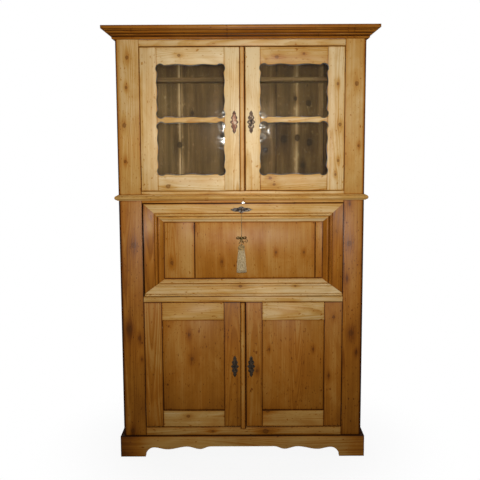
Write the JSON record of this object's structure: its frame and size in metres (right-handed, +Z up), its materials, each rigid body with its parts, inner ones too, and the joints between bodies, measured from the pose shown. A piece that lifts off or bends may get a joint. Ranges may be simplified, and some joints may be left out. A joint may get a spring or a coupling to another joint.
{
  "type": "glazed fall-front cupboard",
  "caption": "Tall pine cupboard: glazed doors over a fall front with key and tassel, panelled doors below, moulded cornice, scalloped plinth.",
  "frame": {"origin": "on the floor, under the middle of the cornice's plan", "axes": "+Z up, -Y out of the front, +X to the right seen from the front"},
  "size_m": [1.264, 0.5554, 2.044],
  "materials": {
    "pine": "waxed, worn, knotty",
    "pine_panel": "waxed, knotty",
    "pine_dark": "waxed, darkened mouldings",
    "pine_inside": "bare, grey-brown, dusty",
    "iron": "aged, dark, rubbed at the edges",
    "glass": "old drawn glass, slightly wavy",
    "thread": "twisted thread",
    "tassel": "straw-coloured silk strands"
  },
  "bodies": {
    "carcass": {"upper_post_left": "pine", "upper_post_right": "pine", "upper_side_left": "pine", "upper_side_right": "pine", "upper_top": "pine", "upper_floor": "pine", "waist_board": "pine", "fall_head_rail": "pine", "desk_floor": "pine", "bottom_rail": "pine", "lower_post_left": "pine", "lower_post_right": "pine", "lower_side_left": "pine", "lower_side_right": "pine", "upper_back": "pine_inside", "upper_shelf": "pine_inside", "lower_back": "pine_inside", "lower_shelf": "pine_inside", "lower_floor": "pine_inside", "cornice_front": "pine_dark", "cornice_left": "pine_dark", "cornice_right": "pine_dark", "plinth_front": "pine_dark", "plinth_left": "pine_dark", "plinth_right": "pine_dark"},
    "upper_left_door": {"upper_left_hinge_stile": "pine", "upper_left_lock_stile": "pine", "upper_left_top_rail": "pine", "upper_left_bottom_rail": "pine", "upper_left_glazing_bar": "pine", "upper_left_glass": "glass", "upper_meeting_strip": "pine_dark"},
    "upper_right_door": {"upper_right_hinge_stile": "pine", "upper_right_lock_stile": "pine", "upper_right_top_rail": "pine", "upper_right_bottom_rail": "pine", "upper_right_glazing_bar": "pine", "upper_right_glass": "glass"},
    "lower_left_door": {"lower_left_hinge_stile": "pine", "lower_left_lock_stile": "pine", "lower_left_top_rail": "pine", "lower_left_bottom_rail": "pine", "lower_left_panel": "pine_panel", "lower_meeting_strip": "pine_dark"},
    "lower_right_door": {"lower_right_hinge_stile": "pine", "lower_right_lock_stile": "pine", "lower_right_top_rail": "pine", "lower_right_bottom_rail": "pine", "lower_right_panel": "pine_panel"},
    "fall_front": {"fall_top_rail": "pine", "fall_bottom_rail": "pine", "fall_left_stile": "pine", "fall_right_stile": "pine", "fall_panel": "pine_panel", "fall_escutcheon": "iron", "fall_lock_plate": "iron"},
    "key": {"fall_key": "iron"},
    "lock_bolt": {"fall_lock_bolt": "iron"},
    "tassel": {"tassel_cord": "thread", "tassel": "tassel"}
  },
  "joints": [
    {"name": "upper_left_door_hinge", "type": "hinge", "parent": "carcass", "child": "upper_left_door", "pos_m": [-0.46725, -0.22225, 1.2935], "axis": [0, 0, -1], "range_deg": [0, 110]},
    {"name": "upper_right_door_hinge", "type": "hinge", "parent": "carcass", "child": "upper_right_door", "pos_m": [0.47975, -0.22225, 1.2935], "axis": [0, 0, 1], "range_deg": [0, 110]},
    {"name": "lower_left_door_hinge", "type": "hinge", "parent": "carcass", "child": "lower_left_door", "pos_m": [-0.46725, -0.22225, 0.146], "axis": [0, 0, -1], "range_deg": [0, 110]},
    {"name": "lower_right_door_hinge", "type": "hinge", "parent": "carcass", "child": "lower_right_door", "pos_m": [0.47975, -0.22225, 0.146], "axis": [0, 0, 1], "range_deg": [0, 110]},
    {"name": "fall_hinge", "type": "hinge", "parent": "carcass", "child": "fall_front", "pos_m": [0, -0.22225, 0.78975], "axis": [1, 0, 0], "range_deg": [0, 90]},
    {"name": "key_turn", "type": "hinge", "parent": "fall_front", "child": "key", "pos_m": [0, -0.24825, 1.204], "axis": [0, 1, 0], "range_deg": [0, 180]},
    {"name": "bolt_slide", "type": "slide", "parent": "fall_front", "child": "lock_bolt", "axis": [0, 0, 1], "range_m": [0, 0.008]},
    {"name": "tassel_swing", "type": "hinge", "parent": "fall_front", "child": "tassel", "pos_m": [0, -0.24825, 1.204], "axis": [1, 0, 0], "range_deg": [-90, 0]}
  ],
  "couplings": [
    {"joint": "tassel_swing", "follows": "fall_hinge", "ratio": -1},
    {"joint": "key_turn", "follows": "bolt_slide", "rad_per_m": 392.5}
  ]
}
